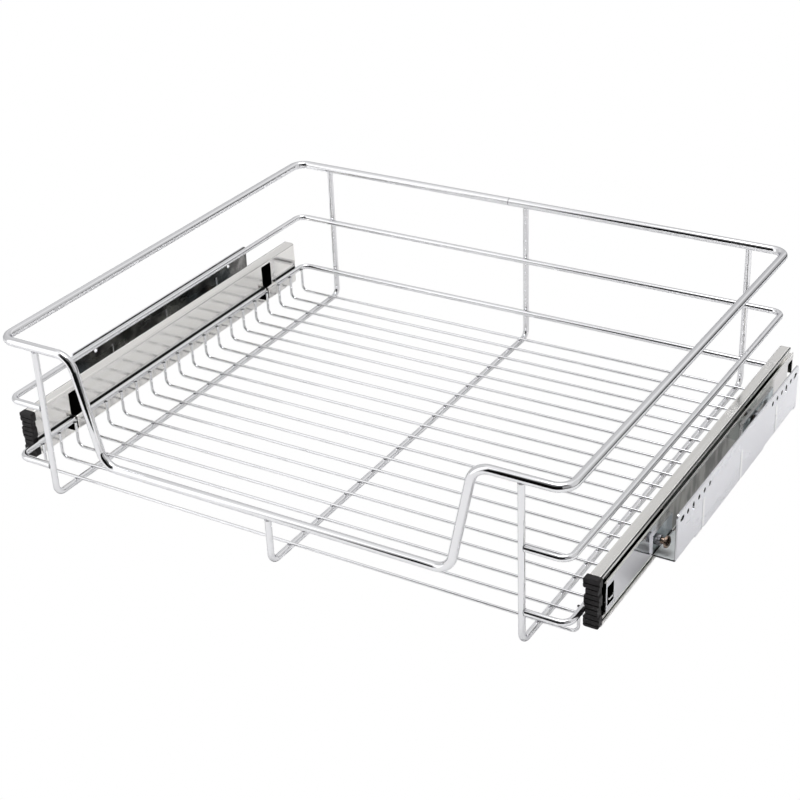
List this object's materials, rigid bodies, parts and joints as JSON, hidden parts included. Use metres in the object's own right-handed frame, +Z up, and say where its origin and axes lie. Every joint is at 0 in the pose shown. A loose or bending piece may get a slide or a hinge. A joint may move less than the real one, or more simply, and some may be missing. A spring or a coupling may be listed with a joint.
{
  "type": "pull out cabinet basket",
  "caption": "Pull-out chromed wire basket with a dipped front rim, carried on full-extension ball slides whose angled brackets screw to the sides of a cabinet.",
  "frame": {"origin": "on the floor under the runners, at the middle of the whole width and depth", "axes": "+X to the right across the cabinet, +Y to the back of the cabinet, +Z up; the basket pulls out along -Y"},
  "size_m": [0.564, 0.4324, 0.1411],
  "materials": {
    "chrome_wire": "bright chrome plate",
    "slide_steel": "bright zinc plate, satin",
    "cage_steel": "plain steel strip",
    "ball_steel": "polished",
    "black_plastic": "moulded, satin",
    "bracket_steel": "bright zinc plate",
    "screw_steel": "bronze passivated zinc",
    "nut_steel": "zinc plate"
  },
  "bodies": {
    "cabinet_mount": {"bracket_left": "bracket_steel", "bracket_right": "bracket_steel", "cabinet_member_left": "slide_steel", "cabinet_member_right": "slide_steel", "window_buffer_left": "black_plastic", "window_buffer_right": "black_plastic", "bracket_screws": "screw_steel", "lock_nuts": "nut_steel"},
    "basket": {"top_rim": "chrome_wire", "mid_rail": "chrome_wire", "low_rail": "chrome_wire", "hoop_left": "chrome_wire", "hoop_middle": "chrome_wire", "hoop_right": "chrome_wire", "floor_wire_01": "chrome_wire", "floor_wire_02": "chrome_wire", "floor_wire_03": "chrome_wire", "floor_wire_04": "chrome_wire", "floor_wire_05": "chrome_wire", "floor_wire_06": "chrome_wire", "floor_wire_07": "chrome_wire", "floor_wire_08": "chrome_wire", "floor_wire_09": "chrome_wire", "floor_wire_10": "chrome_wire", "floor_wire_11": "chrome_wire", "floor_wire_12": "chrome_wire", "floor_wire_13": "chrome_wire", "floor_wire_14": "chrome_wire", "floor_wire_15": "chrome_wire", "floor_wire_16": "chrome_wire", "floor_wire_17": "chrome_wire", "floor_wire_18": "chrome_wire", "floor_wire_19": "chrome_wire", "floor_wire_20": "chrome_wire", "drawer_member_left": "slide_steel", "drawer_member_right": "slide_steel", "front_cap_left": "black_plastic", "front_cap_right": "black_plastic", "rail_clips_left": "black_plastic", "rail_clips_right": "black_plastic"},
    "middle_slide_left": {"middle_member_left": "slide_steel", "middle_buffer_left": "black_plastic"},
    "outer_ball_train_left": {"outer_cage_left": "cage_steel", "outer_balls_left": "ball_steel"},
    "inner_ball_train_left": {"inner_cage_left": "cage_steel", "inner_balls_left": "ball_steel"},
    "middle_slide_right": {"middle_member_right": "slide_steel", "middle_buffer_right": "black_plastic"},
    "outer_ball_train_right": {"outer_cage_right": "cage_steel", "outer_balls_right": "ball_steel"},
    "inner_ball_train_right": {"inner_cage_right": "cage_steel", "inner_balls_right": "ball_steel"}
  },
  "joints": [
    {"name": "basket_slide", "type": "slide", "parent": "cabinet_mount", "child": "basket", "axis": [0, -1, 0], "range_m": [0, 0.37]},
    {"name": "middle_slide_left_travel", "type": "slide", "parent": "cabinet_mount", "child": "middle_slide_left", "axis": [0, -1, 0], "range_m": [0, 0.185]},
    {"name": "outer_ball_train_left_slide", "type": "slide", "parent": "cabinet_mount", "child": "outer_ball_train_left", "axis": [0, -1, 0], "range_m": [0, 0.2775]},
    {"name": "inner_ball_train_left_slide", "type": "slide", "parent": "cabinet_mount", "child": "inner_ball_train_left", "axis": [0, -1, 0], "range_m": [0, 0.0925]},
    {"name": "middle_slide_right_travel", "type": "slide", "parent": "cabinet_mount", "child": "middle_slide_right", "axis": [0, -1, 0], "range_m": [0, 0.185]},
    {"name": "outer_ball_train_right_slide", "type": "slide", "parent": "cabinet_mount", "child": "outer_ball_train_right", "axis": [0, -1, 0], "range_m": [0, 0.2775]},
    {"name": "inner_ball_train_right_slide", "type": "slide", "parent": "cabinet_mount", "child": "inner_ball_train_right", "axis": [0, -1, 0], "range_m": [0, 0.0925]}
  ],
  "couplings": [
    {"joint": "middle_slide_left_travel", "follows": "basket_slide", "ratio": 0.5},
    {"joint": "outer_ball_train_left_slide", "follows": "basket_slide", "ratio": 0.75},
    {"joint": "inner_ball_train_left_slide", "follows": "basket_slide", "ratio": 0.25},
    {"joint": "middle_slide_right_travel", "follows": "basket_slide", "ratio": 0.5},
    {"joint": "outer_ball_train_right_slide", "follows": "basket_slide", "ratio": 0.75},
    {"joint": "inner_ball_train_right_slide", "follows": "basket_slide", "ratio": 0.25}
  ]
}
